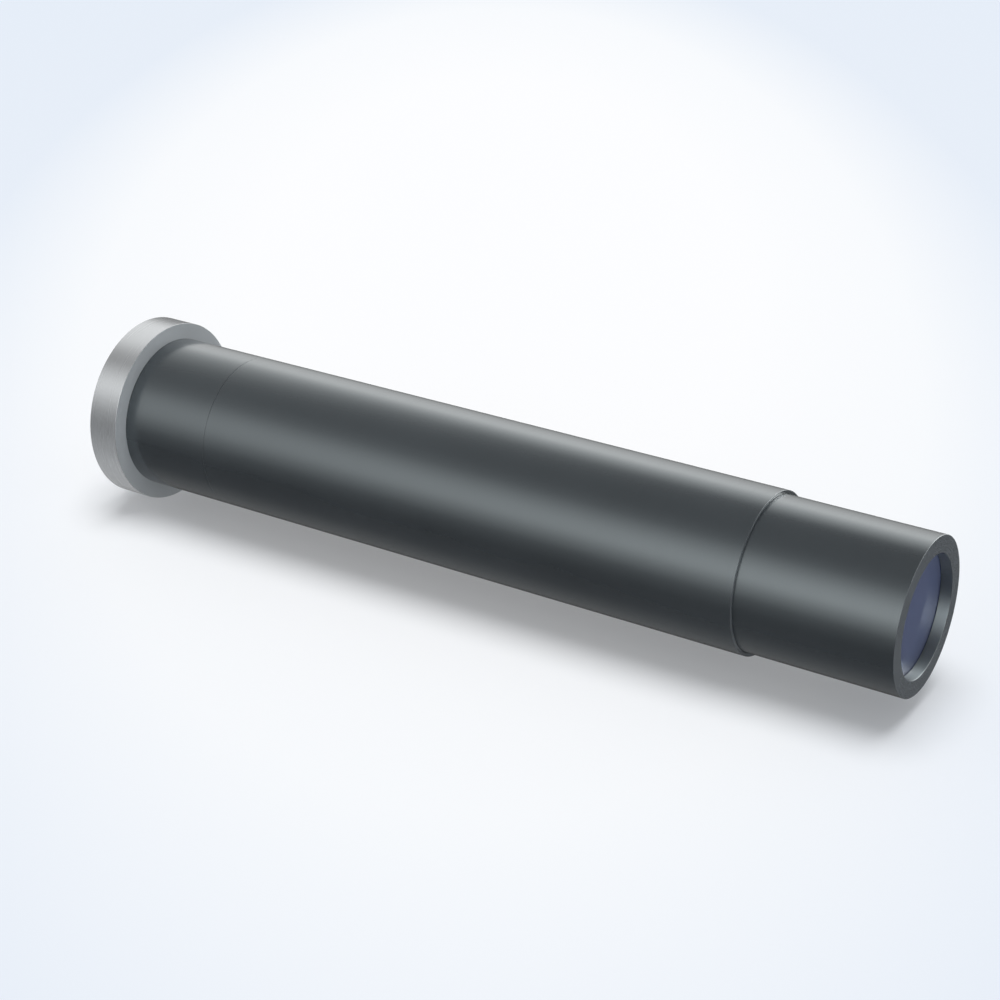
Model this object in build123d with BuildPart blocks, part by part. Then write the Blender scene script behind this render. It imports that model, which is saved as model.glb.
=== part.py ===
from build123d import *

import os
from math import sqrt

# Panoramic inspection lens, in millimetres. It looks at the whole inside wall of a hole from outside it.
# The optical axis is X: the camera lies towards -X and the hole towards +X. Z is up.
# The origin is the centre of the seat on which the camera mount meets the camera.
# The casing is a bright mount ring, a short rear barrel, a long main barrel and a narrower front barrel.
# The front barrel turns on a fine thread in the main barrel's mouth, and moves along as it turns. It takes
# the front lens cell with it, which a pin in a keyway keeps from turning: that focuses the lens.

# Outside of the casing
barrel_diameter = 30.0
flange_lip = 3.15  # the mount ring stands proud of the barrel by this
flange_thickness = 6.5
rear_barrel_length = 19.5  # from the mount ring to the fine seam
main_barrel_length = 113.8  # from the seam to the small step
front_barrel_reach = 29.3  # from the step to the front face
mouth_wall = 0.65  # of the main barrel round the front barrel
front_lip_width = 3.2  # flat front face round the opening
glass_recess = 2.2  # from the front face back to the glass
edge_break = 0.1

# Camera mount, with the rear lens in its nose
camera_thread_diameter = 25.4
camera_thread_length = 4.0
nose_wall = 2.2
rear_seat_height = 1.2  # of the step that the rear lens stands on
rear_ring_depth = 3.0  # from the end of the nose to the ring behind the lens
rear_ring_thickness = 2.0
mount_spigot_length = 6.0

# Walls and screwed joints of the barrels
barrel_wall = 2.0
seam_spigot_length = 8.0

# Focusing
focus_travel_in = 1.0
focus_travel_out = 2.0
stop_gap = 0.3  # left at the inner end of the travel
mouth_depth = 9.8  # of the smooth bore that guides the front barrel
front_wall = 1.0  # of the front barrel
sleeve_wall = 1.25
sleeve_engagement = 6.7  # of its thread in the main barrel when the front barrel is right out
sleeve_spigot_length = 7.5  # length of the sleeve inside the front barrel
cell_chamber_length = 18.0  # of the main barrel's wide bore, from its web to the mouth
keyway_depth = 0.9
guide_pin_diameter = 2.0
guide_pin_shank_diameter = 1.4
guide_pin_inset = 2.5  # from the end of the cell to the pin
guide_pin_end_gap = 0.15

# Front lens cell
cell_pocket_wall = 1.2
cell_tail_wall = 1.1

# Relay train in the main barrel
relay_bore_diameter = 18.0
relay_seat_height = 1.5
relay_web = 2.0
field_spacer_length = 28.0
stop_spacer_length = 4.0
stop_thickness = 0.5
stop_opening_diameter = 7.0
relay_ring_thickness = 3.0

# Lenses, flat on one side and domed on the other: thickness at the rim, and radius of the dome
front_lens_rim = 2.6
front_lens_curve = 60.0
second_lens_rim = 2.2
second_lens_curve = 75.0
field_lens_rim = 2.4
field_lens_curve = 48.0
relay_lens_rim = 2.4
relay_lens_curve = 40.0
rear_lens_rim = 2.4
rear_lens_curve = 62.0
front_air_gap = 0.8  # between the domes of the front and the second lens

# Slots for a spanner in the threaded rings
ring_slot_width = 1.6
ring_slot_depth = 1.0

# Clearances
thread_gap = 0.05
running_gap = 0.05
glass_gap = 0.03
seat_gap = 0.02
pin_gap = 0.01
end_play = 0.1

# Radii of the casing
barrel_radius = barrel_diameter / 2
flange_radius = barrel_radius + flange_lip
bore_radius = barrel_radius - barrel_wall
spigot_radius = bore_radius - thread_gap
camera_thread_radius = camera_thread_diameter / 2
rear_bore_radius = camera_thread_radius - nose_wall
rear_seat_radius = rear_bore_radius - rear_seat_height
relay_bore_radius = relay_bore_diameter / 2
relay_seat_radius = relay_bore_radius - relay_seat_height

# Radii of the focusing parts, from the mouth inwards
mouth_radius = barrel_radius - mouth_wall
front_barrel_radius = mouth_radius - running_gap
opening_radius = front_barrel_radius - front_lip_width
chamber_radius = front_barrel_radius - front_wall
sleeve_radius = chamber_radius - thread_gap
sleeve_bore_radius = sleeve_radius - sleeve_wall
cell_radius = chamber_radius - running_gap
cell_pocket_radius = cell_radius - cell_pocket_wall
tail_radius = sleeve_bore_radius - running_gap
tail_bore_radius = tail_radius - cell_tail_wall
keyway_radius = chamber_radius + keyway_depth

# Places along the axis
seam_x = flange_thickness + rear_barrel_length
mouth_x = seam_x + main_barrel_length
front_x = mouth_x + front_barrel_reach
glass_x = front_x - glass_recess
mouth_floor_x = mouth_x - mouth_depth
relay_web_front_x = mouth_floor_x - cell_chamber_length
relay_web_x = relay_web_front_x - relay_web
front_barrel_x = mouth_floor_x + focus_travel_in + stop_gap
tail_x = relay_web_front_x + focus_travel_in + stop_gap
guide_pin_x = tail_x + guide_pin_inset


def sag(curve, radius):
    """How far a dome falls back from its top at a radius."""
    return curve - sqrt(curve**2 - radius**2)


def dome_height(curve, glass_radius, seat_radius):
    """How far the rim of a dome lies behind the inner edge of the ring that the dome stands on."""
    return sag(curve, glass_radius) - sag(curve, seat_radius)


def lens(flat_x, facing, rim, curve, glass_radius):
    """A lens with its flat side at flat_x. Its dome faces 1 to the front or -1 to the camera.

    A disc that is longer than the lens is cut to shape by a sphere, whose seam is turned away from the dome.
    """
    thickness = rim + sag(curve, glass_radius)
    with BuildPart() as glass:
        with BuildSketch(Plane.YZ.offset(flat_x)):
            Circle(glass_radius)
        extrude(amount=facing * 2 * thickness)
        with Locations((flat_x + facing * (thickness - curve), 0, 0)):
            Sphere(curve, rotation=(0, 0, 90), mode=Mode.INTERSECT)
    return glass


def tube(back_x, front_x, outer_radius, inner_radius):
    """A plain tube or ring."""
    with BuildPart() as ring:
        with BuildSketch(Plane.YZ.offset(back_x)):
            Circle(outer_radius)
            Circle(inner_radius, mode=Mode.SUBTRACT)
        extrude(amount=front_x - back_x)
    return ring


def slotted_ring(back_x, front_x, outer_radius, inner_radius):
    """A threaded ring that holds lenses in, with two slots for a spanner in the face towards the camera."""
    with BuildPart() as ring:
        add(tube(back_x, front_x, outer_radius, inner_radius).part)
        with BuildSketch(Plane.YZ.offset(back_x)):
            Rectangle(3 * outer_radius, ring_slot_width)
        extrude(amount=ring_slot_depth, mode=Mode.SUBTRACT)
    return ring


os.makedirs("parts", exist_ok=True)

# Rear lens group, forwards from the end of the nose: threaded ring, lens, and the step that it stands on
rear_ring_x = rear_ring_depth - camera_thread_length
rear_ring_front_x = rear_ring_x + rear_ring_thickness
rear_glass_radius = rear_bore_radius - glass_gap
rear_lens_x = rear_ring_front_x + seat_gap + rear_lens_rim
rear_lens_x += dome_height(rear_lens_curve, rear_glass_radius, rear_seat_radius)

# Camera mount: one turned ring, with the camera's thread on its nose and the rear barrel's on its spigot
with BuildPart() as camera_mount:
    with BuildSketch(Plane.XZ):
        with BuildLine():
            Polyline(
                (-camera_thread_length, rear_bore_radius),
                (-camera_thread_length, camera_thread_radius),
                (0, camera_thread_radius),
                (0, flange_radius),
                (flange_thickness, flange_radius),
                (flange_thickness, spigot_radius),
                (flange_thickness + mount_spigot_length, spigot_radius),
                (flange_thickness + mount_spigot_length, rear_seat_radius),
                (rear_lens_x + seat_gap, rear_seat_radius),
                (rear_lens_x + seat_gap, rear_bore_radius),
                close=True,
            )
        make_face()
    revolve(axis=Axis.X)
camera_mount.part.label = "camera_mount"
export_step(camera_mount.part, "parts/camera_mount.step")

rear_lens = lens(rear_lens_x, -1, rear_lens_rim, rear_lens_curve, rear_glass_radius)
rear_lens.part.label = "rear_lens"
export_step(rear_lens.part, "parts/rear_lens.step")

rear_ring = slotted_ring(
    rear_ring_x, rear_ring_front_x, rear_bore_radius - thread_gap, rear_seat_radius
)
rear_ring.part.label = "rear_ring"
export_step(rear_ring.part, "parts/rear_ring.step")

# Rear barrel: screwed onto the mount's spigot behind and the main barrel's in front
rear_barrel = tube(flange_thickness, seam_x, barrel_radius, bore_radius)
rear_barrel.part.label = "rear_barrel"
export_step(rear_barrel.part, "parts/rear_barrel.step")

# Main barrel: spigot, narrow relay bore, a web, the wide threaded bore with its keyway, and the mouth
with BuildPart() as main_barrel:
    with BuildSketch(Plane.XZ):
        with BuildLine():
            Polyline(
                (seam_x - seam_spigot_length, relay_bore_radius),
                (seam_x - seam_spigot_length, spigot_radius),
                (seam_x, spigot_radius),
                (seam_x, barrel_radius),
                (mouth_x, barrel_radius),
                (mouth_x, mouth_radius),
                (mouth_floor_x, mouth_radius),
                (mouth_floor_x, chamber_radius),
                (relay_web_front_x, chamber_radius),
                (relay_web_front_x, relay_seat_radius),
                (relay_web_x, relay_seat_radius),
                (relay_web_x, relay_bore_radius),
                close=True,
            )
        make_face()
    revolve(axis=Axis.X)
    with BuildSketch(Plane.YZ.offset(relay_web_front_x)):
        Rectangle(
            guide_pin_diameter + 2 * running_gap, keyway_radius, align=(Align.CENTER, Align.MAX)
        )
    extrude(amount=cell_chamber_length, mode=Mode.SUBTRACT)
    barrel_ends = main_barrel.edges().filter_by(GeomType.CIRCLE).group_by(SortBy.RADIUS)[-1]
    chamfer(barrel_ends, edge_break)
main_barrel.part.label = "main_barrel"
export_step(main_barrel.part, "parts/main_barrel.step")

# Relay train, back from the web: field lens, long spacer, lens, the stop between its spacers, lens and ring
relay_glass_radius = relay_bore_radius - glass_gap
field_lens_x = relay_web_x - seat_gap
field_spacer_front_x = field_lens_x - field_lens_rim - seat_gap
field_spacer_front_x -= dome_height(field_lens_curve, relay_glass_radius, relay_seat_radius)
field_spacer_x = field_spacer_front_x - field_spacer_length
relay_front_lens_x = field_spacer_x - seat_gap - relay_lens_rim
relay_front_lens_x -= dome_height(relay_lens_curve, relay_glass_radius, relay_seat_radius)
stop_front_spacer_x = relay_front_lens_x - seat_gap - stop_spacer_length
aperture_stop_x = stop_front_spacer_x - stop_thickness
stop_rear_spacer_x = aperture_stop_x - stop_spacer_length
relay_rear_lens_x = stop_rear_spacer_x - seat_gap
relay_ring_front_x = relay_rear_lens_x - relay_lens_rim - seat_gap
relay_ring_front_x -= dome_height(relay_lens_curve, relay_glass_radius, relay_seat_radius)

field_lens = lens(field_lens_x, -1, field_lens_rim, field_lens_curve, relay_glass_radius)
field_lens.part.label = "field_lens"
export_step(field_lens.part, "parts/field_lens.step")

field_spacer = tube(field_spacer_x, field_spacer_front_x, relay_glass_radius, relay_seat_radius)
field_spacer.part.label = "field_spacer"
export_step(field_spacer.part, "parts/field_spacer.step")

relay_front_lens = lens(
    relay_front_lens_x, 1, relay_lens_rim, relay_lens_curve, relay_glass_radius
)
relay_front_lens.part.label = "relay_front_lens"
export_step(relay_front_lens.part, "parts/relay_front_lens.step")

stop_front_spacer = tube(
    stop_front_spacer_x,
    stop_front_spacer_x + stop_spacer_length,
    relay_glass_radius,
    relay_seat_radius,
)
stop_front_spacer.part.label = "stop_front_spacer"
export_step(stop_front_spacer.part, "parts/stop_front_spacer.step")

aperture_stop = tube(
    aperture_stop_x, stop_front_spacer_x, relay_glass_radius, stop_opening_diameter / 2
)
aperture_stop.part.label = "aperture_stop"
export_step(aperture_stop.part, "parts/aperture_stop.step")

stop_rear_spacer = tube(
    stop_rear_spacer_x, aperture_stop_x, relay_glass_radius, relay_seat_radius
)
stop_rear_spacer.part.label = "stop_rear_spacer"
export_step(stop_rear_spacer.part, "parts/stop_rear_spacer.step")

relay_rear_lens = lens(
    relay_rear_lens_x, -1, relay_lens_rim, relay_lens_curve, relay_glass_radius
)
relay_rear_lens.part.label = "relay_rear_lens"
export_step(relay_rear_lens.part, "parts/relay_rear_lens.step")

relay_ring = slotted_ring(
    relay_ring_front_x - relay_ring_thickness,
    relay_ring_front_x,
    relay_bore_radius - thread_gap,
    relay_seat_radius,
)
relay_ring.part.label = "relay_ring"
export_step(relay_ring.part, "parts/relay_ring.step")

# Focus sleeve: threaded outside, its back runs in the main barrel and its front is locked in the front barrel
sleeve_x = mouth_floor_x - focus_travel_out - sleeve_engagement
sleeve_front_x = front_barrel_x + sleeve_spigot_length
focus_sleeve = tube(sleeve_x, sleeve_front_x, sleeve_radius, sleeve_bore_radius)
focus_sleeve.part.label = "focus_sleeve"
export_step(focus_sleeve.part, "parts/focus_sleeve.step")

# Front barrel: turned by hand to focus, with a flat lip in front of the glass
lip_x = glass_x + end_play
with BuildPart() as front_barrel:
    with BuildSketch(Plane.XZ):
        with BuildLine():
            Polyline(
                (front_barrel_x, chamber_radius),
                (front_barrel_x, front_barrel_radius),
                (front_x, front_barrel_radius),
                (front_x, opening_radius),
                (lip_x, opening_radius),
                (lip_x, chamber_radius),
                close=True,
            )
        make_face()
    revolve(axis=Axis.X)
front_barrel.part.label = "front_barrel"
export_step(front_barrel.part, "parts/front_barrel.step")

# Front lens group, back from the glass: front lens, spacer, second lens, and the floor that it stands on
front_glass_radius = cell_pocket_radius - glass_gap
cell_spacer_radius = tail_bore_radius
cell_spacer_front_x = glass_x - front_lens_rim - seat_gap
cell_spacer_front_x -= dome_height(front_lens_curve, front_glass_radius, cell_spacer_radius)
cell_spacer_length = sag(front_lens_curve, cell_spacer_radius) + front_air_gap
cell_spacer_length += sag(second_lens_curve, cell_spacer_radius)
cell_spacer_x = cell_spacer_front_x - cell_spacer_length
second_lens_x = cell_spacer_x - seat_gap - second_lens_rim
second_lens_x -= dome_height(second_lens_curve, front_glass_radius, cell_spacer_radius)
pocket_floor_x = second_lens_x - seat_gap

# Lens cell: a wide head that turns freely in the front barrel, and a long tail that carries the guide pin
with BuildPart() as lens_cell:
    with BuildSketch(Plane.XZ):
        with BuildLine():
            Polyline(
                (tail_x, tail_bore_radius),
                (tail_x, tail_radius),
                (sleeve_front_x + end_play, tail_radius),
                (sleeve_front_x + end_play, cell_radius),
                (glass_x, cell_radius),
                (glass_x, cell_pocket_radius),
                (pocket_floor_x, cell_pocket_radius),
                (pocket_floor_x, tail_bore_radius),
                close=True,
            )
        make_face()
    revolve(axis=Axis.X)
    with BuildSketch(Plane.XY):
        with Locations((guide_pin_x, 0)):
            Circle(guide_pin_shank_diameter / 2 + pin_gap)
    extrude(amount=-tail_radius, mode=Mode.SUBTRACT)
lens_cell.part.label = "lens_cell"
export_step(lens_cell.part, "parts/lens_cell.step")

# Guide pin: its shank is fixed in the cell's tail, and its head slides in the keyway
with BuildPart() as guide_pin:
    with BuildSketch(Plane.XY.offset(-tail_radius)):
        with Locations((guide_pin_x, 0)):
            Circle(guide_pin_diameter / 2)
    extrude(amount=tail_radius + guide_pin_end_gap - keyway_radius)
    with BuildSketch(Plane.XY.offset(-tail_radius)):
        with Locations((guide_pin_x, 0)):
            Circle(guide_pin_shank_diameter / 2)
    extrude(amount=tail_radius - tail_bore_radius)
guide_pin.part.label = "guide_pin"
export_step(guide_pin.part, "parts/guide_pin.step")

front_lens = lens(glass_x, -1, front_lens_rim, front_lens_curve, front_glass_radius)
front_lens.part.label = "front_lens"
export_step(front_lens.part, "parts/front_lens.step")

cell_spacer = tube(cell_spacer_x, cell_spacer_front_x, front_glass_radius, cell_spacer_radius)
cell_spacer.part.label = "cell_spacer"
export_step(cell_spacer.part, "parts/cell_spacer.step")

second_lens = lens(second_lens_x, 1, second_lens_rim, second_lens_curve, front_glass_radius)
second_lens.part.label = "second_lens"
export_step(second_lens.part, "parts/second_lens.step")
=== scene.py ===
import bmesh
import bpy
import numpy as np
from mathutils import Matrix, Vector


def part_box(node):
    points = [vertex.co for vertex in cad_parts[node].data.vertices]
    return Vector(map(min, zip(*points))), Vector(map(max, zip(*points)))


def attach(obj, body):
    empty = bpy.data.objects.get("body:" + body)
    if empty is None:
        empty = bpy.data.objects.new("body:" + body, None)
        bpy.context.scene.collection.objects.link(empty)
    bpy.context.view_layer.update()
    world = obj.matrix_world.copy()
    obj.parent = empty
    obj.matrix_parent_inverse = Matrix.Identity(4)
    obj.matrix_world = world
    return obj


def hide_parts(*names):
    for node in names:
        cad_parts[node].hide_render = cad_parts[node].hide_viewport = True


# The panoramic inspection lens, piece by piece, from the end that screws into the camera to the front
# glass. Lengths are in metres. X is the optical axis, and Z is up. Nearly every piece is turned, so its
# shape is a section, given as places along the axis and radii, wound round the axis.
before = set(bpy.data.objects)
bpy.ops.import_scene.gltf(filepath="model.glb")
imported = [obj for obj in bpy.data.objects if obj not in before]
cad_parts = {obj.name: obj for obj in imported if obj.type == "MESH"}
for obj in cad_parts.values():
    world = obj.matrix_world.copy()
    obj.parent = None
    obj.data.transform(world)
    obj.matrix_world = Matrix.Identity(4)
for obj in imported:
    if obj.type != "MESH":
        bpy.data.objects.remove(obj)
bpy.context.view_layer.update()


# Camera mount
# One ring turned from aluminium bar and clear anodised. The thread on its nose screws into the camera,
# its wide flange seats on the camera's face, and the spigot in front screws into the rear barrel.
mm = 0.001
coarse, fine = 160, 288  # columns round hidden and visible pieces
touching = 0.0001 * mm  # points nearer than this are one
sharp_turn = np.radians(32)  # a surface that turns by more has an edge
keen, crisp, soft = 0.03 * mm, 0.04 * mm, 0.1 * mm  # roundings of edges


def reach(node):
    """Back end, front end and outer radius of a turned piece of the frame."""
    low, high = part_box(node)
    return low.x, high.x, high.y


def columns(count):
    """Angles of the columns round the axis. The last repeats the first."""
    return np.linspace(0, 2 * np.pi, count + 1)


def rounded(corners, steps=5):
    """Section through corners (x, r, rounding), as a column of x and a column of r.

    With u and v the unit vectors from a corner to its neighbours and w the angle between them, the arc's
    centre lies rounding / sin(w / 2) from the corner along u + v, and the arc touches the edges
    rounding / tan(w / 2) from it. A ring one rounding outside each end of the arc keeps the long faces
    flat in smooth shading.
    """
    table = np.array(corners, float)
    point, rounding = table[:, :2], table[1:-1, 2:]
    here = point[1:-1]
    u, v = point[:-2] - here, point[2:] - here
    u /= np.linalg.norm(u, axis=1, keepdims=True)
    v /= np.linalg.norm(v, axis=1, keepdims=True)
    half = np.arccos((u * v).sum(1, keepdims=True)) / 2
    centre = here + (u + v) / np.linalg.norm(u + v, axis=1, keepdims=True) * rounding / np.sin(half)
    start = here + u * rounding / np.tan(half) - centre
    end = here + v * rounding / np.tan(half) - centre
    sweep, share = np.pi - 2 * half, np.linspace(0, 1, steps)[:, None, None]
    arc = centre + (np.sin((1 - share) * sweep) * start + np.sin(share * sweep) * end) / np.sin(sweep)
    outside = [centre + start + u * rounding], [centre + end + v * rounding]
    bends = np.concatenate([outside[0], arc, outside[1]]).swapaxes(0, 1).reshape(-1, 2)
    section = np.concatenate([point[:1], bends, point[-1:]])
    apart = np.linalg.norm(np.diff(section, axis=0), axis=1) > touching / 10
    section = section[np.concatenate([[True], apart])]
    return section[:, :1], section[:, 1:]


def helix(start, end, surface, bottom, pitch, turn, marks=8):
    """Rows of a right-hand V thread between two places along the axis, from surface to bottom radius.

    A row that leaves s climbs one pitch a turn, x = s + pitch * a / (2 pi), and is held between start
    and end. The radius depends on how far x is into its own pitch: an eighth flat on top, three eighths
    down, an eighth flat at the bottom and three eighths up. Each pitch has so many rows, its marks.
    """
    s = np.arange(start - pitch, end + pitch / marks, pitch / marks)[:, None]
    x = np.clip(s + pitch * turn / (2 * np.pi), start, end)
    into = np.mod(x / pitch - turn / (2 * np.pi), 1)
    depth = np.interp(into, [0, 1 / 8, 1 / 2, 5 / 8, 1], [0, 0, 1, 1, 0])
    return x, surface + (bottom - surface) * depth


def solid(name, points, quads):
    """Object from points and quads.

    Points that meet are merged, faces point outwards, and edges are sharp only where the surface turns
    a corner.
    """
    mesh = bpy.data.meshes.new(name)
    mesh.vertices.add(len(points))
    mesh.vertices.foreach_set("co", points.ravel())
    mesh.loops.add(quads.size)
    mesh.loops.foreach_set("vertex_index", quads.ravel())
    mesh.polygons.add(len(quads))
    mesh.polygons.foreach_set("loop_start", np.arange(0, quads.size, 4))
    mesh.update(calc_edges=True)
    work = bmesh.new()
    work.from_mesh(mesh)
    bmesh.ops.remove_doubles(work, verts=work.verts, dist=touching)
    bmesh.ops.recalc_face_normals(work, faces=work.faces)
    work.to_mesh(mesh)
    work.free()
    mesh.shade_smooth()
    mesh.set_sharp_from_angle(angle=sharp_turn)
    made = bpy.data.objects.new(name, mesh)
    bpy.context.scene.collection.objects.link(made)
    return made


def turned(name, turn, *stretches, closed=True):
    """A section wound round the axis: row i at the column's angle a lies at (x, r cos a, r sin a).

    The section comes in stretches of rows of x and r. Its last row joins its first, unless the section
    ends on the axis.
    """
    x = np.vstack([np.broadcast_to(s[0], (len(s[0]), turn.shape[-1])) for s in stretches])
    r = np.vstack([np.broadcast_to(s[1], (len(s[1]), turn.shape[-1])) for s in stretches])
    points = np.stack([x, r * np.cos(turn), r * np.sin(turn)], -1).reshape(-1, 3)
    index = np.arange(x.size).reshape(x.shape)
    if closed:
        index = np.vstack([index, index[:1]])
    quads = np.stack([index[:-1, :-1], index[1:, :-1], index[1:, 1:], index[:-1, 1:]], -1)
    return solid(name, points, quads.reshape(-1, 4))


def add(tree, kind, inputs, **settings):
    """A shader node with its settings.

    Its inputs are given by name or number, as values or as other nodes' outputs.
    """
    node = tree.nodes.new("ShaderNode" + kind)
    for key, value in settings.items():
        setattr(node, key, value)
    for key, value in inputs.items():
        if isinstance(value, bpy.types.NodeSocket):
            tree.links.new(value, node.inputs[key])
        else:
            node.inputs[key].default_value = value
    return node


def paint(name):
    """A new material, its node tree without nodes, and its output node."""
    material = bpy.data.materials.new(name)
    material.use_nodes = True
    material.node_tree.nodes.clear()
    return material, material.node_tree, add(material.node_tree, "OutputMaterial", {})


def reckon(tree, operation, *numbers):
    """Result of an operation on numbers or other nodes' outputs."""
    return add(tree, "Math", dict(enumerate(numbers)), operation=operation).outputs[0]


def spread(tree, number, first, last, low=0.0, high=1.0):
    """From low to high, as the number goes from first to last."""
    ends = {"From Min": first, "From Max": last, "To Min": low, "To Max": high}
    return add(tree, "MapRange", {"Value": number, **ends}).outputs[0]


def on_piece(tree):
    """Place on the piece, in metres."""
    return add(tree, "TexCoord", {}).outputs["Object"]


def noise(tree, place, scale, detail, roughness=0.5):
    """Cloudy noise, between 0 and 1, with scale blobs to the metre."""
    inputs = {"Vector": place, "Scale": scale, "Detail": detail, "Roughness": roughness}
    return add(tree, "TexNoise", inputs).outputs["Fac"]


def lathe_rings(tree, width, drift):
    """Noise in rings round the axis.

    It changes over width along x and r, and over drift round the ring.
    """
    place = on_piece(tree)
    split = add(tree, "SeparateXYZ", {0: place}).outputs
    square = reckon(tree, "MULTIPLY", split["Y"], split["Y"])
    square = reckon(tree, "MULTIPLY_ADD", split["Z"], split["Z"], square)
    radius = reckon(tree, "POWER", square, 0.5)
    flat = add(tree, "CombineXYZ", {0: split["X"], 1: radius, 2: 0.0}).outputs[0]
    rings = add(tree, "VectorMath", {0: flat, "Scale": 1 / width}, operation="SCALE").outputs[0]
    around = add(tree, "VectorMath", {0: place, "Scale": 1 / drift}, operation="SCALE").outputs[0]
    both = add(tree, "VectorMath", {0: rings, 1: around}, operation="ADD").outputs[0]
    return noise(tree, both, 1.0, 3.0, 0.6)


def tone(tree, amount, dark, light):
    """Colour between dark and light by amount, most of which lies between 0.3 and 0.7."""
    ramp = add(tree, "ValToRGB", {0: amount})
    ramp.color_ramp.elements[0].position, ramp.color_ramp.elements[1].position = 0.3, 0.7
    ramp.color_ramp.elements[0].color, ramp.color_ramp.elements[1].color = (*dark, 1), (*light, 1)
    return ramp.outputs[0]


def level(tree, amount, low, high):
    """Number between low and high by amount, most of which lies between 0.3 and 0.7."""
    return spread(tree, amount, 0.3, 0.7, low, high)


def cut_across(tree, off=0.8, on=0.98):
    """From 0 to 1, as the x of the surface's normal goes from off to on, so 1 on faces across the axis."""
    normal = add(tree, "NewGeometry", {}).outputs["Normal"]
    along = add(tree, "SeparateXYZ", {0: normal}).outputs["X"]
    return spread(tree, reckon(tree, "ABSOLUTE", along), off, on)


def lighter(tree, colour, where, more):
    """The colour, with more times itself added to each channel where the share is 1."""
    more = add(tree, "VectorMath", {0: more, "Scale": where}, operation="SCALE").outputs[0]
    return add(tree, "VectorMath", {0: colour, 1: more, 2: colour}, operation="MULTIPLY_ADD").outputs[0]


def silver_finish():
    """Clear anodised aluminium: half mirror, half milky film, with the rings that the cutter left.

    Faces cut across the axis are more matt, and their colour is painted lighter and bluer: painted light
    that brightens them.
    """
    material, tree, output = paint("silver_anodised")
    rings = lathe_rings(tree, 0.16 * mm, 18 * mm)
    cloud = noise(tree, on_piece(tree), 90.0, 3.0)
    bump = add(tree, "Bump", {"Strength": 0.3, "Distance": 0.0005 * mm, "Height": rings}).outputs[0]
    faced_matt_painted_light = cut_across(tree)
    satin = level(tree, rings, 0.24, 0.28)
    film = tone(tree, cloud, (0.53, 0.54, 0.55), (0.56, 0.57, 0.58))
    shader = add(
        tree,
        "BsdfPrincipled",
        {
            # Faces cut across the axis get a lighter, bluer colour: painted light that brightens them.
            "Base Color": lighter(tree, film, faced_matt_painted_light, (0.1, 0.14, 0.16)),
            "Metallic": spread(tree, faced_matt_painted_light, 0.0, 1.0, 0.58, 0.25),
            "Roughness": reckon(tree, "MULTIPLY_ADD", faced_matt_painted_light, 0.25, satin),
            "Normal": bump,
        },
    )
    tree.links.new(shader.outputs[0], output.inputs[0])
    return material


def fit(piece, node, body, material):
    """The piece stands for a node of the frame, rides on its body and takes its finish."""
    piece.data.materials.append(material)
    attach(piece, body)
    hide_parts(node)


nose_end, spigot_end, flange_radius = reach("camera_mount")
flange_front, seam, barrel_radius = reach("rear_barrel")
_, ring_front, ring_radius = reach("rear_ring")
glass_clearance = 0.02 * mm
glass_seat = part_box("rear_lens")[1].x + glass_clearance
camera_thread_radius = 12.7 * mm
camera_thread_pitch = 25.4 * mm / 32
nose_bore_radius = ring_radius + 0.05 * mm
light_bore_radius = 9.3 * mm
spigot_radius = 12.95 * mm
fine_pitch = 0.5 * mm  # of the threads that hold rings and barrels
thread_share = 0.65  # depth of a V thread over its pitch
relief = 0.8 * mm  # groove between the camera thread and the seat
relief_depth = 0.06 * mm  # below the thread's root
nose_chamfer = 0.55 * mm
bore_chamfer = 0.35 * mm
flange_edge = 0.07 * mm
undercut = 0.8 * mm  # behind a spigot's thread
spigot_chamfer = 0.4 * mm

turn = columns(fine)
camera_thread_root = camera_thread_radius - thread_share * camera_thread_pitch
nose_thread = helix(nose_end, -relief, camera_thread_radius, camera_thread_root, camera_thread_pitch, turn)
nose_thread = nose_thread[0], np.minimum(
    nose_thread[1], camera_thread_radius - nose_chamfer + nose_thread[0] - nose_end
)
bore_thread = helix(
    nose_end + bore_chamfer,
    ring_front,
    nose_bore_radius,
    nose_bore_radius + thread_share * fine_pitch,
    fine_pitch,
    turn,
)
spigot_root = spigot_radius - thread_share * fine_pitch
spigot_thread = helix(
    flange_front + undercut,
    spigot_end - spigot_chamfer,
    spigot_radius,
    spigot_root,
    fine_pitch,
    turn,
    marks=4,
)
mount = turned(
    "mount_ring",
    turn,
    (bore_thread[0][::-1], bore_thread[1][::-1]),
    rounded(
        [
            (nose_end + bore_chamfer, nose_bore_radius, 0),
            (nose_end, nose_bore_radius + bore_chamfer, crisp),
            (nose_end, camera_thread_radius - nose_chamfer, 0),
        ]
    ),
    nose_thread,
    rounded(
        [
            (-relief, camera_thread_root - relief_depth, 0),
            (0, camera_thread_root - relief_depth, soft),
            (0, flange_radius, flange_edge),
            (flange_front, flange_radius, flange_edge),
            (flange_front, spigot_root, 0.08 * mm),
            (flange_front + undercut, spigot_root, 0),
        ]
    ),
    spigot_thread,
    rounded(
        [
            (spigot_end - spigot_chamfer, spigot_radius - 0.1 * mm, 0),
            (spigot_end, spigot_radius - 0.5 * mm, crisp),
            (spigot_end, light_bore_radius, soft),
            (glass_seat, light_bore_radius, keen),
            (glass_seat, nose_bore_radius, keen),
            (ring_front, nose_bore_radius, 0),
        ]
    ),
)
fit(mount, "camera_mount", "housing", silver_finish())


# Rear lens and its ring
# The last lens of the relay stands on a step in the mount's nose, and a black threaded ring behind it
# holds it in. The glass is polished on both faces, and its ground rim is painted black against stray light.
bevel = 0.2 * mm
dome_rows = 28


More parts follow.
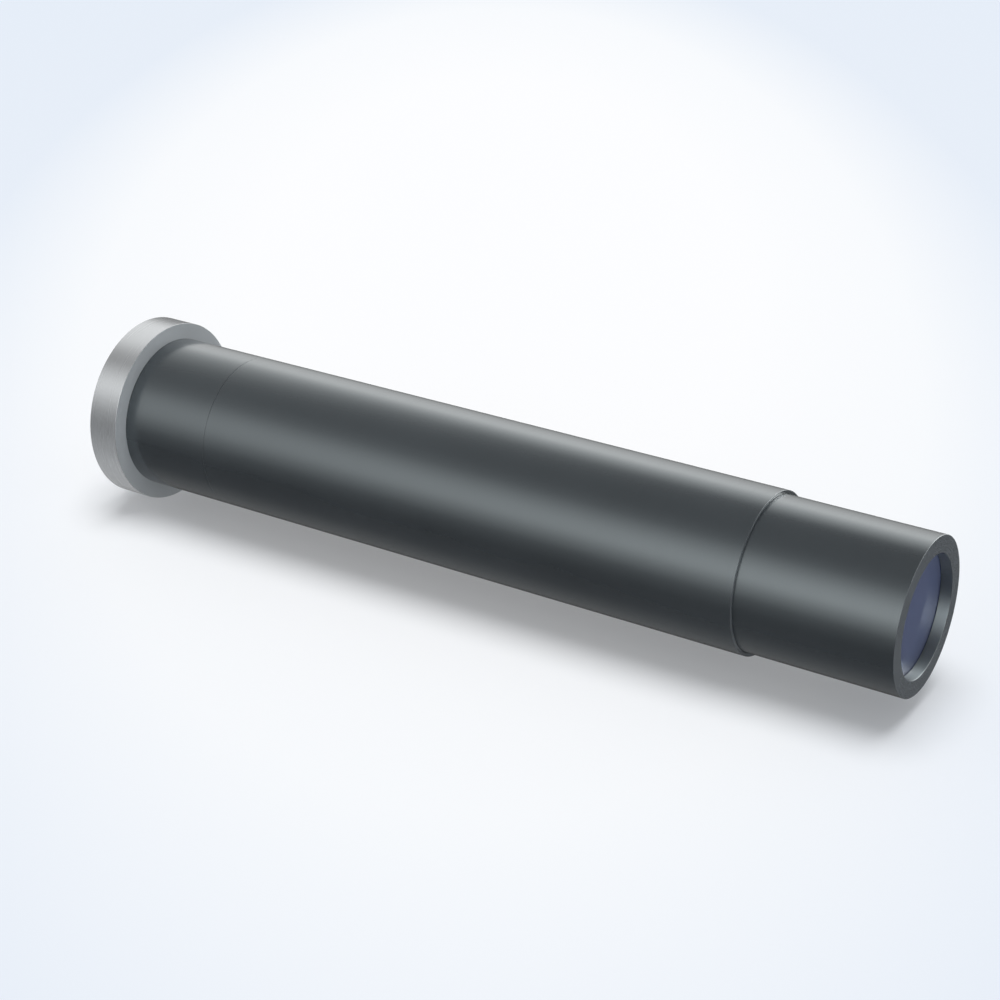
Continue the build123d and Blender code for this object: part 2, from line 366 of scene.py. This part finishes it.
def glass_section(node, facing, curve):
    """Section of a lens, from one pole to the other.

    The dome's radius is its curve. With facing 1 for a dome towards +X and -1 for one towards -X,
    its x at the radius r is crown - facing * (curve - sqrt(curve^2 - r^2)).
    """
    back, front, radius = reach(node)
    crown, flat = (back, front) if facing < 0 else (front, back)
    r = np.linspace(0, radius - bevel, dome_rows)
    x = crown - facing * (curve - np.sqrt(curve**2 - r**2))
    dome = np.stack([x, r, 0 * r], 1).tolist()
    shoulder = x[-1] - facing * bevel
    return rounded(
        dome
        + [
            (shoulder, radius, keen),
            (flat + facing * bevel, radius, keen),
            (flat, radius - bevel, keen),
            (flat, 0, 0),
        ]
    )


def glass_finish(name, body_colour, clear, mirror):
    """Polished glass with a thin coating on its faces, and black paint where it turns off the axis.

    Clear is the share of light that goes in, and mirror the strength of the coating's shine.
    """
    material, tree, output = paint(name)
    bloom = noise(tree, on_piece(tree), 55.0, 2.0)
    grain = noise(tree, on_piece(tree), 6000.0, 2.0)
    edge = cut_across(tree, off=0.9, on=0.85)  # the other way round: 1 on the rim
    faces = add(
        tree,
        "BsdfPrincipled",
        {
            "Base Color": tone(tree, bloom, body_colour, [1.06 * c for c in body_colour]),
            "Roughness": level(tree, bloom, 0.01, 0.03),
            "IOR": 1.52,
            "Transmission Weight": clear,
            "Specular IOR Level": mirror,
            "Specular Tint": (0.6, 0.75, 1.0, 1),
        },
    )
    bump = add(tree, "Bump", {"Strength": 0.5, "Distance": 0.004 * mm, "Height": grain}).outputs[0]
    rim = add(
        tree,
        "BsdfPrincipled",
        {
            "Base Color": tone(tree, grain, (0.012, 0.012, 0.013), (0.02, 0.02, 0.021)),
            "Roughness": 0.6,
            "Normal": bump,
        },
    )
    mixed = add(tree, "MixShader", {0: edge, 1: faces.outputs[0], 2: rim.outputs[0]})
    tree.links.new(mixed.outputs[0], output.inputs[0])
    return material


def black_finish(name, dark, light, roughness, rings_height, sealed, drawn, bending):
    """Dyed black anodised aluminium.

    It has a fine etched grain, faint rings from the lathe and a slight cloud in the dye. The rings spread
    reflections along the axis where drawn is above 0. Faces cut across the axis are painted nearly four
    times lighter: painted light that lifts the shade on them in steps and recesses.
    """
    material, tree, output = paint(name)
    cloud = noise(tree, on_piece(tree), 45.0, 4.0)
    grain = noise(tree, on_piece(tree), 5200.0, 2.0)
    rings = lathe_rings(tree, 0.22 * mm, 25 * mm)
    mottle = reckon(tree, "DIVIDE", reckon(tree, "MULTIPLY_ADD", grain, 0.35, cloud), 1.35)
    bump = add(tree, "Bump", {"Strength": 0.4, "Distance": 0.001 * mm, "Height": grain}).outputs[0]
    bump = add(
        tree, "Bump", {"Strength": 0.4, "Distance": rings_height, "Height": rings, "Normal": bump}
    ).outputs[0]
    shader = add(
        tree,
        "BsdfPrincipled",
        {
            # Faces cut across the axis are painted lighter: painted light against the shade in steps and
            # recesses.
            "Base Color": lighter(tree, tone(tree, mottle, dark, light), cut_across(tree), (2.9, 2.7, 2.5)),
            "Roughness": level(tree, rings, roughness - 0.02, roughness + 0.02),
            "Anisotropic": drawn,
            "Tangent": add(tree, "Tangent", {}, direction_type="RADIAL", axis="X").outputs[0],
            "Anisotropic Rotation": 0.25,
            "IOR": bending,
            "Specular Tint": (0.88, 1.0, 1.03, 1),
            "Coat Weight": sealed,
            "Coat Roughness": 0.14,
            "Normal": bump,
        },
    )
    tree.links.new(shader.outputs[0], output.inputs[0])
    return material


hidden_edge = 0.08 * mm


def slotted(name, node, inner, slot_width, slot_depth):
    """A ring with two slots across its back face, along Y.

    Columns are placed by q, from -1 to 1 across a slot and from 1 to 3 to the next. The slot's wall
    stays at z = slot_width / 2 at every radius r, so it lies at the angle arcsin(slot_width / (2 r)).
    Between the walls the angle is linear in q. Columns in a slot are held in front of its floor.
    """
    back, front, outer = reach(node)
    edge = hidden_edge
    x, r = rounded(
        [
            ((back + front) / 2, inner, 0),
            (back, inner, edge),
            (back, outer, edge),
            (front, outer, edge),
            (front, inner, edge),
            ((back + front) / 2, inner, 0),
        ]
    )
    q, cut = [], []
    for first, in_slot in ((-1, True), (1, False), (3, True), (5, False)):
        steps = 9 if in_slot else coarse // 2
        q.append(np.linspace(first, first + 2, steps))
        cut.append(np.full(steps, in_slot))
    q, cut = np.concatenate(q), np.concatenate(cut)
    knots, pi = [-1, 1, 3, 5, 7], np.pi
    wall = np.arcsin(slot_width / 2 / r)
    turn = np.interp(q, knots, [0, 0, pi, pi, 2 * pi]) + np.interp(q, knots, [-1, 1, -1, 1, -1]) * wall
    x = np.where(cut, np.maximum(x, back + slot_depth), x)
    closing = turn[:, :1] + 2 * pi
    return turned(
        name,
        np.hstack([turn, closing]),
        (np.hstack([x, x[:, :1]]), np.broadcast_to(r, (len(r), q.size + 1))),
    )


slot_width = 1.6 * mm
slot_depth = 1.0 * mm
clear_glass = glass_finish("optical_glass", (0.9, 0.94, 0.93), 1.0, 0.5)
inner_dark, inner_light = (0.012, 0.012, 0.013), (0.02, 0.02, 0.021)
inner_black = black_finish("matt_black_anodised", inner_dark, inner_light, 0.5, 0.006 * mm, 0.0, 0.0, 1.7)

rear_curve = 62 * mm
rear_glass = turned("rear_glass", columns(fine), glass_section("rear_lens", -1, rear_curve), closed=False)
fit(rear_glass, "rear_lens", "housing", clear_glass)

retainer = slotted("rear_retainer", "rear_ring", light_bore_radius, slot_width, slot_depth)
fit(retainer, "rear_ring", "housing", inner_black)


# Rear barrel
# A short black anodised tube, screwed onto the mount's spigot behind and onto the main barrel's in front.
# Where it meets the main barrel a hairline shows, between the two barrels' rounded edges.
barrel_bore_radius = 13 * mm
lead_in = 0.3 * mm  # chamfer at the mouth of a threaded bore
seam_gap = 0.03 * mm  # from the seam to each barrel
seam_relief = 0.5 * mm  # depth of that gap
outer_dark, outer_light = (0.034, 0.039, 0.044), (0.041, 0.047, 0.053)
outer_black = black_finish("black_anodised", outer_dark, outer_light, 0.25, 0.002 * mm, 0.5, 0.0, 1.75)

turn = columns(fine)
thread_bottom = barrel_bore_radius + thread_share * fine_pitch
bore_thread = helix(
    flange_front + lead_in, seam - lead_in, barrel_bore_radius, thread_bottom, fine_pitch, turn, marks=4
)
rear_tube = turned(
    "rear_tube",
    turn,
    (bore_thread[0][::-1], bore_thread[1][::-1]),
    rounded(
        [
            (flange_front + lead_in, barrel_bore_radius, 0),
            (flange_front, barrel_bore_radius + lead_in, keen),
            (flange_front, barrel_radius, keen),
            (seam - seam_gap, barrel_radius, crisp),
            (seam - seam_gap, barrel_radius - seam_relief, 0.01 * mm),
            (seam, barrel_radius - seam_relief, 0.01 * mm),
            (seam, barrel_bore_radius + lead_in, keen),
            (seam - lead_in, barrel_bore_radius, 0),
        ]
    ),
)
fit(rear_tube, "rear_barrel", "housing", outer_black)


# Main barrel
# The long black anodised body, bored from both ends. A web divides the narrow relay bore from the wide
# bore of the focusing thread, which has a keyway for the guide pin along its underside. The mouth guides
# the front barrel.
spigot_back, mouth, _ = reach("main_barrel")
relay_bore_radius = 9 * mm
relay_seat_radius = 7.5 * mm
chamber_radius = 13.3 * mm
mouth_radius = 14.35 * mm
keyway_radius = 14.2 * mm
keyway_width = 2.1 * mm
web_back, web_front = 0.110, 0.112
thread_back, mouth_floor = 0.1195, 0.130
focus_pitch = 1 * mm
focus_depth = 0.45 * mm  # of the focusing thread
thread_floor = chamber_radius + focus_depth
mouth_edge = 0.07 * mm
slot_columns = 7


def keyed_columns(width, radius, count):
    """Angles of columns round a slot with parallel walls on -Z, and which of them lie in the slot.

    A wall half a width off -Z lies at the angle arcsin(width / (2 radius)) from it, and has a column on
    each side.
    """
    half = np.arcsin(width / 2 / radius)
    across = np.linspace(-half, half, slot_columns) + 1.5 * np.pi
    around = np.linspace(half, 2 * np.pi - half, count) + 1.5 * np.pi
    turn = np.concatenate([across, around, across[:1] + 2 * np.pi])
    in_slot = np.concatenate([np.full(slot_columns, True), np.full(count, False), [True]])
    return turn, in_slot


turn, in_keyway = keyed_columns(keyway_width, chamber_radius, fine)
chamber = (
    rounded(
        [
            (web_front, relay_seat_radius, 0),
            (web_front, chamber_radius, soft),
            (thread_back, chamber_radius, 0),
        ]
    ),
    helix(thread_back, mouth_floor - lead_in, chamber_radius, thread_floor, focus_pitch, turn, marks=4),
    (np.array([[mouth_floor]]), np.array([[chamber_radius + lead_in]])),
)
along, out = (
    np.vstack([np.broadcast_to(part[k], (len(part[k]), turn.size)) for part in chamber]) for k in (0, 1)
)
out = np.where(in_keyway & (out > chamber_radius - touching), keyway_radius, out)
main_tube = turned(
    "main_tube",
    turn,
    (along, out),
    rounded(
        [
            (mouth_floor, keyway_radius, 0),
            (mouth_floor, mouth_radius, 0.05 * mm),
            (mouth, mouth_radius, 0.02 * mm),
            (mouth, barrel_radius, mouth_edge),
            (seam + seam_gap, barrel_radius, crisp),
            (seam + seam_gap, barrel_radius - seam_relief, 0.01 * mm),
            (seam, barrel_radius - seam_relief, 0.01 * mm),
            (seam, spigot_radius - lead_in, crisp),
            (seam - undercut, spigot_radius - lead_in, crisp),
            (seam - undercut - lead_in, spigot_radius, crisp),
            (spigot_back + spigot_chamfer, spigot_radius, crisp),
            (spigot_back, spigot_radius - spigot_chamfer, crisp),
            (spigot_back, relay_bore_radius, soft),
            (web_back, relay_bore_radius, 0.05 * mm),
            (web_back, relay_seat_radius, 0.05 * mm),
            (web_front, relay_seat_radius, 0),
        ]
    ),
)
fit(main_tube, "main_barrel", "housing", outer_black)


# Relay train
# Lenses, black spacers and the aperture stop slide into the narrow bore from behind and stand on the web,
# and a slotted ring screwed in behind them holds them. The spacers' bores are cut in fine grooves against
# stray light.
inset = 0.25 * mm  # from the end of a grooved bore to its grooves


def grooved_tube(name, node, bore, groove_pitch, groove_depth, count=coarse):
    """A plain tube with a bore cut in fine grooves, and its edges broken."""
    back, front, outer = reach(node)
    turn, edge = columns(count), hidden_edge
    grooves = helix(back + inset, front - inset, bore, bore + groove_depth, groove_pitch, turn, marks=4)
    body = [
        (front - inset, bore, 0),
        (front, bore, edge),
        (front, outer, edge),
        (back, outer, edge),
        (back, bore, edge),
        (back + inset, bore, 0),
    ]
    return turned(name, turn, grooves, rounded(body))


groove_pitch = 0.7 * mm
groove_depth = 0.4 * mm
for name, node, facing, curve in (
    ("field_glass", "field_lens", -1, 48 * mm),
    ("relay_front_glass", "relay_front_lens", 1, 40 * mm),
    ("relay_rear_glass", "relay_rear_lens", -1, 40 * mm),
):
    piece = turned(name, columns(coarse), glass_section(node, facing, curve), closed=False)
    fit(piece, node, "housing", clear_glass)

for name, node in (
    ("long_spacer", "field_spacer"),
    ("short_spacer_front", "stop_front_spacer"),
    ("short_spacer_rear", "stop_rear_spacer"),
):
    piece = grooved_tube(name, node, relay_seat_radius, groove_pitch, groove_depth)
    fit(piece, node, "housing", inner_black)

stop_back, stop_front, stop_radius = reach("aperture_stop")
stop_hole_radius = 3.5 * mm
stop_land = 0.08 * mm  # edge that cuts the light
stop_middle = (stop_hole_radius + stop_radius) / 2
stop_disc = turned(
    "stop_disc",
    columns(coarse),
    rounded(
        [
            (stop_back, stop_middle, 0),
            (stop_back, stop_hole_radius, 0.01 * mm),
            (stop_back + stop_land, stop_hole_radius, 0.01 * mm),
            (stop_front, stop_hole_radius + stop_front - stop_back - stop_land, 0.02 * mm),
            (stop_front, stop_radius, 0.06 * mm),
            (stop_back, stop_radius, 0.06 * mm),
            (stop_back, stop_middle + 0.01 * mm, 0),
        ]
    ),
)
fit(stop_disc, "aperture_stop", "housing", inner_black)

relay_retainer = slotted("relay_retainer", "relay_ring", relay_seat_radius, slot_width, slot_depth)
fit(relay_retainer, "relay_ring", "housing", inner_black)


# Lens cell
# A long black tube that carries the front lenses in a pocket at its head. It slides without turning: its
# tail runs inside the focus sleeve, and the guide pin in the tail keeps it straight.
tail_back, cell_front, cell_radius = reach("lens_cell")
tail_radius = 11.95 * mm
tail_bore_radius = 10.85 * mm
pocket_radius = 12.05 * mm
head_back = 0.1389
pocket_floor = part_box("second_lens")[0].x - glass_clearance
grooves_back, grooves_front = tail_back + 4.5 * mm, pocket_floor - lead_in
cell_groove_pitch = 1 * mm
turn = columns(coarse)
cell_grooves = helix(
    grooves_back,
    grooves_front,
    tail_bore_radius,
    tail_bore_radius + groove_depth,
    cell_groove_pitch,
    turn,
    marks=4,
)
cell = turned(
    "front_cell",
    turn,
    cell_grooves,
    rounded(
        [
            (grooves_front, tail_bore_radius, 0),
            (pocket_floor, tail_bore_radius, 0.05 * mm),
            (pocket_floor, pocket_radius, keen),
            (cell_front, pocket_radius, soft),
            (cell_front, cell_radius, soft),
            (head_back, cell_radius, soft),
            (head_back, tail_radius, soft),
            (tail_back, tail_radius, soft),
            (tail_back, tail_bore_radius, soft),
            (grooves_back, tail_bore_radius, 0),
        ]
    ),
)
fit(cell, "lens_cell", "focus_cell", inner_black)


# Guide pin
# A ground steel pin with a thin shank pressed into the cell's tail. Its head slides in the main barrel's
# keyway, so the cell can't turn with the sleeve.
def steel_finish():
    """Ground steel: bright, with fine scratches from the grinding wheel across it."""
    material, tree, output = paint("ground_steel")
    inputs = {"Vector": on_piece(tree), "Scale": (9000.0, 9000.0, 900.0)}
    scratch = noise(tree, add(tree, "Mapping", inputs).outputs[0], 1.0, 3.0)
    bump = add(tree, "Bump", {"Strength": 0.4, "Distance": 0.003 * mm, "Height": scratch}).outputs[0]
    shader = add(
        tree,
        "BsdfPrincipled",
        {
            "Base Color": tone(tree, scratch, (0.52, 0.52, 0.53), (0.62, 0.62, 0.62)),
            "Metallic": 1.0,
            "Roughness": level(tree, scratch, 0.18, 0.3),
            "Normal": bump,
        },
    )
    tree.links.new(shader.outputs[0], output.inputs[0])
    return material


pin_low, pin_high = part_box("guide_pin")
head_radius = (pin_high.x - pin_low.x) / 2
shank_radius = 0.7 * mm
pin = turned(
    "keyway_pin",
    columns(64),
    rounded(
        [
            (-pin_high.z, 0, 0),
            (-pin_high.z, shank_radius, soft),
            (tail_radius, shank_radius, keen),
            (tail_radius, head_radius, 0.06 * mm),
            (-pin_low.z, head_radius, 0.15 * mm),
            (-pin_low.z, 0, 0),
        ]
    ),
    closed=False,
)
pin_place = Matrix.Translation(((pin_low.x + pin_high.x) / 2, 0, 0))
pin.data.transform(pin_place @ Matrix.Rotation(np.pi / 2, 4, "Y"))
fit(pin, "guide_pin", "focus_cell", steel_finish())


# Front lenses
# The second lens stands on the pocket's floor, a thin spacer keeps the two domes apart, and the front
# lens is cemented in flush with the cell. Its blue-violet coating is what shows in the opening.
second_curve, front_curve = 75 * mm, 60 * mm
second_section = glass_section("second_lens", 1, second_curve)
second_glass = turned("second_glass", columns(fine), second_section, closed=False)
fit(second_glass, "second_lens", "focus_cell", clear_glass)

thin_pitch, thin_depth = 0.5 * mm, 0.25 * mm
front_spacer = grooved_tube("front_spacer", "cell_spacer", tail_bore_radius, thin_pitch, thin_depth, fine)
fit(front_spacer, "cell_spacer", "focus_cell", inner_black)

blue_glass = glass_finish("coated_glass", (0.175, 0.205, 0.335), 0.3, 0.2)
front_section = glass_section("front_lens", -1, front_curve)
front_glass = turned("front_glass", columns(fine), front_section, closed=False)
fit(front_glass, "front_lens", "focus_cell", blue_glass)


# Focus sleeve and front barrel
# The sleeve runs on the fine thread in the main barrel and is locked into the front barrel, which the
# hand turns. The front barrel is a thin black tube that runs in the main one's mouth, with a flat lip
# round the glass.
sleeve_back, sleeve_front, sleeve_radius = reach("focus_sleeve")
sleeve_bore_radius = 12 * mm
front_barrel_back, front_face, front_barrel_radius = reach("front_barrel")
front_bore_radius = 13.3 * mm
lip_width = 3.2 * mm
opening_radius = front_barrel_radius - lip_width
lip_back = 0.167
bore_middle = (front_barrel_back + lip_back) / 2
turn = columns(coarse)
sleeve = turned(
    "threaded_sleeve",
    turn,
    helix(
        sleeve_back + lead_in,
        front_barrel_back,
        sleeve_radius,
        sleeve_radius - focus_depth,
        focus_pitch,
        turn,
    ),
    rounded(
        [
            (front_barrel_back, sleeve_radius, 0),
            (sleeve_front, sleeve_radius, soft),
            (sleeve_front, sleeve_bore_radius, soft),
            (sleeve_back, sleeve_bore_radius, soft),
            (sleeve_back, sleeve_radius - lead_in, 0.05 * mm),
            (sleeve_back + lead_in, sleeve_radius - 0.1 * mm, 0),
        ]
    ),
)
fit(sleeve, "focus_sleeve", "focus_barrel", inner_black)

front_tube = turned(
    "front_tube",
    columns(fine),
    rounded(
        [
            (bore_middle, front_bore_radius, 0),
            (front_barrel_back, front_bore_radius, 0.08 * mm),
            (front_barrel_back, front_barrel_radius, 0.12 * mm),
            (front_face, front_barrel_radius, 0.09 * mm),
            (front_face, opening_radius, 0.08 * mm),
            (lip_back, opening_radius, crisp),
            (lip_back, front_bore_radius, crisp),
            (bore_middle + 0.1 * mm, front_bore_radius, 0),
        ]
    ),
)
fit(front_tube, "front_barrel", "focus_barrel", outer_black)

# The opening's wall is left as the boring tool cut it, with a stronger shine than the tube. Its colour is
# painted lighter than the tube's: painted light that lifts the shade inside the opening.
bore_dark_painted_lit, bore_light_painted_lit = (0.048, 0.05, 0.05), (0.056, 0.058, 0.058)
turned_bore = black_finish("turned_bore", bore_dark_painted_lit, bore_light_painted_lit, 0.45, 0.002 * mm, 1.0, 0.9, 3.0)
front_tube.data.materials.append(turned_bore)
centre = np.empty(3 * len(front_tube.data.polygons))
front_tube.data.polygons.foreach_get("center", centre)
out = np.linalg.norm(centre.reshape(-1, 3)[:, 1:], axis=1)
in_bore = out < opening_radius + 0.02 * mm
front_tube.data.polygons.foreach_set("material_index", in_bore.astype(np.int32))


# Studio
# A pale floor just under the mount ring, with a painted pool of light and a glow of its own, painted light
# that lifts the lens's shadow on it and lights the lens's underside a little. Soft light comes from
# straight above, and the metal mirrors long tents of soft boxes. The camera looks down on the lens from the
# front's left.
floor_height = -flange_radius
floor_reach = 3.0
floor_mesh = bpy.data.meshes.new("floor")
signs = ((-1, -1), (1, -1), (1, 1), (-1, 1))
corners = [(x * floor_reach, y * floor_reach, floor_height) for x, y in signs]
floor_mesh.from_pydata(corners, [], [(0, 1, 2, 3)])
floor = bpy.data.objects.new("floor", floor_mesh)
bpy.context.scene.collection.objects.link(floor)
floor.visible_glossy = False

# The floor's colour paints a pool of light: it is palest in an oval pool and darker and bluer outwards.
# Each stop below is a share of the pool's size and a colour.
# A quarter of the floor's shading is painted glow: it lifts the lens's shadow on the floor and lights the
# lens's underside a little.
shadow_lifting_glow = 0.25
painted_pool_turn = (0, 0, np.radians(32))
painted_pool_centre = (-0.019, 0.165, 0.0)
painted_pool_size = (0.13, 0.34, 1.0)
painted_pool_reach = 2.0
stops = (
    (0.5, (0.95, 0.957, 0.973)),
    (0.8, (0.915, 0.935, 0.962)),
    (1.1, (0.78, 0.835, 0.915)),
    (1.6, (0.77, 0.83, 0.915)),
)
material, tree, output = paint("pale_floor")
painted_pool = add(
    tree,
    "Mapping",
    {"Vector": on_piece(tree), "Location": painted_pool_centre, "Rotation": painted_pool_turn, "Scale": painted_pool_size},
    vector_type="TEXTURE",
).outputs[0]
painted_pool = add(tree, "VectorMath", {0: painted_pool, 1: (1.0, 1.0, 0.0)}, operation="MULTIPLY").outputs[0]
away = add(tree, "VectorMath", {0: painted_pool}, operation="LENGTH").outputs["Value"]
ramp = add(tree, "ValToRGB", {0: reckon(tree, "DIVIDE", away, painted_pool_reach)})
falloff = ramp.color_ramp.elements
for k, (distance, colour) in enumerate(stops):
    stop = falloff[k] if k < 2 else falloff.new(distance / painted_pool_reach)
    stop.position = distance / painted_pool_reach
    stop.color = (*colour, 1)
lit = add(tree, "BsdfDiffuse", {"Color": ramp.outputs[0]})
painted_glow = add(tree, "Emission", {"Color": ramp.outputs[0]})
mixed = add(tree, "MixShader", {0: shadow_lifting_glow, 1: lit.outputs[0], 2: painted_glow.outputs[0]})
tree.links.new(mixed.outputs[0], output.inputs[0])
floor_mesh.materials.append(material)

sky_light = 0.37  # plain light from all round
lamp_light = 0.67  # on top of it, from above
sun = bpy.data.lights.new("overhead", "SUN")
sun.energy = lamp_light * np.pi
sun.angle = np.radians(40)
lamp = bpy.data.objects.new("overhead", sun)
lamp.visible_glossy = False
lamp.visible_transmission = False
bpy.context.scene.collection.objects.link(lamp)

# Metal and glass mirror long tents of soft boxes and dark cloth. A tent's table gives the angle round the
# axis in degrees (0 on the far side, 90 overhead, 180 on the near side), then the brightness there where
# the rear of the lens mirrors it, where the front does, and ahead of the lens, where front faces and the
# opening's wall do.
tent_reach, outer_tent, inner_tent = 24.0, 6.0, 5.9
rear_mirrored, front_mirrored, ahead_mirrored = -4.5, -2.1, 0.5  # x of those places on the tents


def light_tent(name, radius, boxes, veil):
    """A long cylinder round the lens, lit as its boxes say.

    Round the axis the brightness is linear between the boxes' angles. Along x it goes from rear to front
    between their places, and from front to ahead over the metre behind that place. Rays go on through a
    veil to the tent outside it.
    """
    ends = np.array([[-tent_reach], [tent_reach]])
    made = turned(name, columns(64), (ends, np.full((2, 1), radius)), closed=False)
    for seen_by in ("camera", "diffuse", "transmission", "shadow"):
        setattr(made, "visible_" + seen_by, False)
    material, tree, output = paint(name)
    split = add(tree, "SeparateXYZ", {0: on_piece(tree)}).outputs
    roll = reckon(tree, "ARCTAN2", split["Z"], split["Y"])
    below = reckon(tree, "LESS_THAN", roll, -np.pi / 2)
    roll = reckon(tree, "MULTIPLY_ADD", below, 2 * np.pi, roll)
    ramp = add(tree, "ValToRGB", {0: spread(tree, roll, -np.pi / 2, 1.5 * np.pi)})
    spots = ramp.color_ramp.elements
    for k, (degrees, rear, front, ahead) in enumerate(boxes):
        spot = spots[k] if k < 2 else spots.new((degrees + 90) / 360)
        spot.position = (degrees + 90) / 360
        spot.color = (rear, front, ahead, 1)
    parts = add(tree, "SeparateColor", {0: ramp.outputs[0]}).outputs
    forward = spread(tree, split["X"], rear_mirrored, front_mirrored)
    beyond = spread(tree, split["X"], ahead_mirrored - 1, ahead_mirrored)
    bright = parts["Red"]
    for wanted, amount in ((parts["Green"], forward), (parts["Blue"], beyond)):
        step = reckon(tree, "SUBTRACT", wanted, bright)
        bright = reckon(tree, "MULTIPLY_ADD", step, amount, bright)
    lining = add(tree, "Emission", {"Color": (0.985, 1.0, 1.0, 1), "Strength": bright}).outputs[0]
    if veil:
        clear = add(tree, "BsdfTransparent", {}).outputs[0]
        lining = add(tree, "AddShader", {0: clear, 1: lining}).outputs[0]
    tree.links.new(lining, output.inputs[0])
    made.data.materials.append(material)
    return made


barrel_tent = light_tent(
    "barrel_tent",
    outer_tent,
    (
        (-89, 0.2, 0.2, 0.3),
        (-62, 0.2, 0.2, 0.45),
        (-46, 0.07, 0.07, 0.07),
        (-24, 0.06, 0.06, 0.06),
        (-10, 0.35, 0.32, 1.0),
        (10, 1.05, 1.0, 4.5),
        (28, 1.7, 2.1, 5.2),
        (44, 1.15, 1.3, 1.3),
        (60, 0.85, 0.22, 0.1),
        (74, 0.52, 0.15, 0.1),
        (90, 0.34, 0.14, 0.14),
        (106, 0.32, 0.18, 0.18),
        (122, 0.5, 0.4, 0.4),
        (140, 1.1, 1.4, 1.5),
        (150, 1.25, 2.0, 2.2),
        (164, 1.15, 2.35, 2.6),
        (178, 0.65, 1.25, 1.5),
        (194, 0.2, 0.3, 0.35),
        (215, 0.06, 0.06, 0.06),
        (250, 0.1, 0.1, 0.1),
        (270, 0.2, 0.2, 0.3),
    ),
    veil=False,
)
mount_tent = light_tent(
    "mount_tent",
    inner_tent,
    (
        (-89, 0.53, 0.2, 0.2),
        (-62, 0.51, 0.2, 0.2),
        (-46, 0.3, 0.07, 0.07),
        (-24, 0.1, 0.06, 0.06),
        (-10, 0.0, 0.35, 0.35),
        (10, 0.1, 1.0, 1.0),
        (28, 1.11, 2.0, 2.0),
        (44, 1.33, 1.3, 1.3),
        (60, 1.29, 0.3, 0.3),
        (74, 1.2, 0.2, 0.2),
        (90, 0.43, 0.2, 0.2),
        (106, 0.0, 0.2, 0.2),
        (122, 0.69, 0.4, 0.4),
        (140, 1.24, 1.4, 1.4),
        (150, 0.97, 1.6, 1.6),
        (164, 0.47, 1.2, 1.2),
        (178, 0.12, 0.6, 0.6),
        (194, 0.03, 0.3, 0.3),
        (215, 0.34, 0.06, 0.06),
        (250, 0.62, 0.1, 0.1),
        (270, 0.55, 0.2, 0.2),
    ),
    veil=True,
)

# Light linking gives the bright mount ring the inner tent and all other pieces the outer one.
for tent, state in ((mount_tent, "INCLUDE"), (barrel_tent, "EXCLUDE")):
    linked = bpy.data.collections.new(tent.name)
    linked.objects.link(mount)
    linked.collection_objects[0].light_linking.link_state = state
    tent.light_linking.receiver_collection = linked

# Past the tents and the floor lies a pale backdrop, which the camera, metal and glass all see.
backdrop_colour = (0.79, 0.855, 0.94, 1)
world = bpy.data.worlds.new("studio")
world.use_nodes = True
bpy.context.scene.world = world
tree = world.node_tree
tree.nodes.clear()
rays = add(tree, "LightPath", {}).outputs
seen = reckon(tree, "MAXIMUM", rays["Is Camera Ray"], rays["Is Glossy Ray"])
seen = reckon(tree, "MAXIMUM", seen, rays["Is Transmission Ray"])
plain = add(tree, "Background", {"Color": (1, 1, 1, 1), "Strength": sky_light}).outputs[0]
backdrop = add(tree, "Background", {"Color": backdrop_colour}).outputs[0]
mixed = add(tree, "MixShader", {0: seen, 1: plain, 2: backdrop}).outputs[0]
add(tree, "OutputWorld", {0: mixed})

camera_data = bpy.data.cameras.new("camera")
camera_data.sensor_width = 36
camera_data.lens = 77.8
camera = bpy.data.objects.new("camera", camera_data)
camera.location = (0.2765, -0.3070, 0.1765)
looking = Vector((-0.47653, 0.76217, -0.43820))
camera.rotation_euler = looking.to_track_quat("-Z", "Y").to_euler()
bpy.context.scene.collection.objects.link(camera)
bpy.context.scene.camera = camera
bpy.context.scene.view_settings.view_transform = "Standard"
